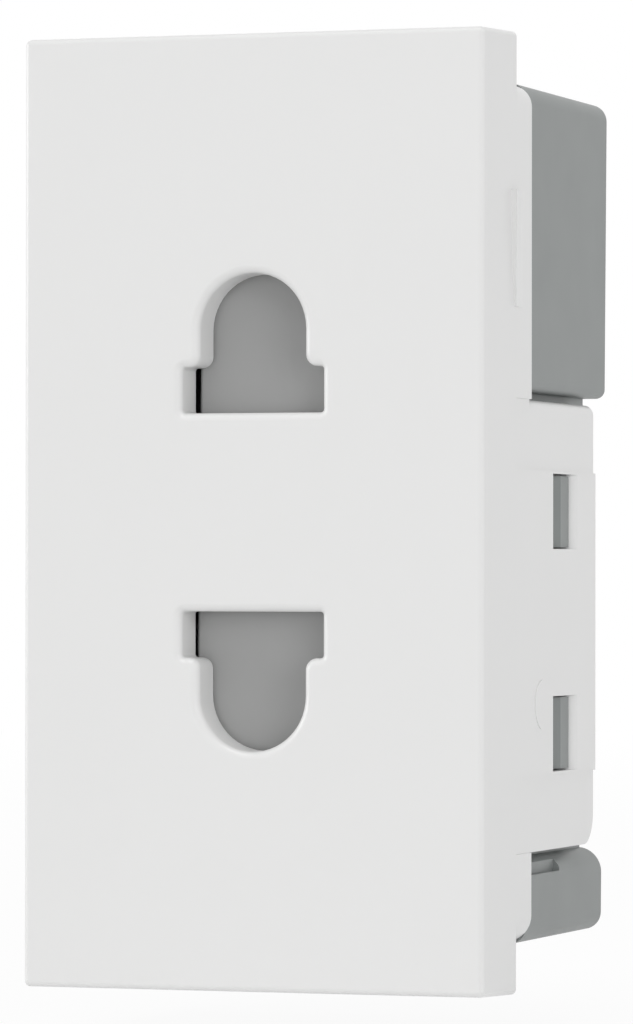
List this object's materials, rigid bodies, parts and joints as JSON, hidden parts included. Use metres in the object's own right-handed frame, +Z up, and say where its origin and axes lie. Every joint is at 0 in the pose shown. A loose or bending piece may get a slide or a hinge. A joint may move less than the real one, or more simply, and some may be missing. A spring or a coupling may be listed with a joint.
{
  "type": "socket module",
  "caption": "Wall socket insert: flat front block with key-hole pin apertures closed by a sprung sliding shutter, side snap legs and a rear housing with screw terminals.",
  "frame": {"origin": "centre of the front face, where a plug's face comes to rest", "axes": "+X to the right seen from the front, +Y to the rear, +Z up"},
  "size_m": [0.0262, 0.0234, 0.05],
  "materials": {
    "white_cover": "semi-gloss moulded white",
    "grey_base": "satin moulded grey",
    "grey_shutter": "satin moulded grey",
    "pale_carrier": "matt moulded pale grey",
    "contact_brass": "rolled sheet, bright",
    "terminal_brass": "machined",
    "spring_steel": "drawn, bright",
    "plated_steel": "zinc plated"
  },
  "bodies": {
    "housing": {"front_cover": "white_cover", "base_housing": "grey_base", "contact_carrier": "pale_carrier", "shutter_spring": "spring_steel", "line_contact": "contact_brass", "neutral_contact": "contact_brass", "line_contact_spring": "spring_steel", "neutral_contact_spring": "spring_steel", "line_terminal": "terminal_brass", "neutral_terminal": "terminal_brass"},
    "shutter": {"shutter": "grey_shutter"},
    "line_clamp": {"line_clamp_plate": "plated_steel"},
    "line_screw": {"line_terminal_screw": "plated_steel"},
    "neutral_clamp": {"neutral_clamp_plate": "plated_steel"},
    "neutral_screw": {"neutral_terminal_screw": "plated_steel"}
  },
  "joints": [
    {"name": "shutter_slide", "type": "slide", "parent": "housing", "child": "shutter", "axis": [0.866, 0.5, 0], "range_m": [0, 0.00808], "stiffness_N_per_m": 50, "deforming": ["shutter_spring"]},
    {"name": "line_clamp_slide", "type": "slide", "parent": "housing", "child": "line_clamp", "axis": [0, -1, 0], "range_m": [0, 0.00225]},
    {"name": "line_screw_turn", "type": "hinge", "parent": "line_clamp", "child": "line_screw", "pos_m": [0.00582, 0.01928, 0.01783], "axis": [0, -1, 0], "range_deg": [0, 1351]},
    {"name": "neutral_clamp_slide", "type": "slide", "parent": "housing", "child": "neutral_clamp", "axis": [0, -1, 0], "range_m": [0, 0.00225]},
    {"name": "neutral_screw_turn", "type": "hinge", "parent": "neutral_clamp", "child": "neutral_screw", "pos_m": [-0.00582, 0.01928, 0.01783], "axis": [0, -1, 0], "range_deg": [0, 1351]}
  ],
  "couplings": [
    {"joint": "line_screw_turn", "follows": "line_clamp_slide", "rad_per_m": 10472},
    {"joint": "neutral_screw_turn", "follows": "neutral_clamp_slide", "rad_per_m": 10472}
  ]
}
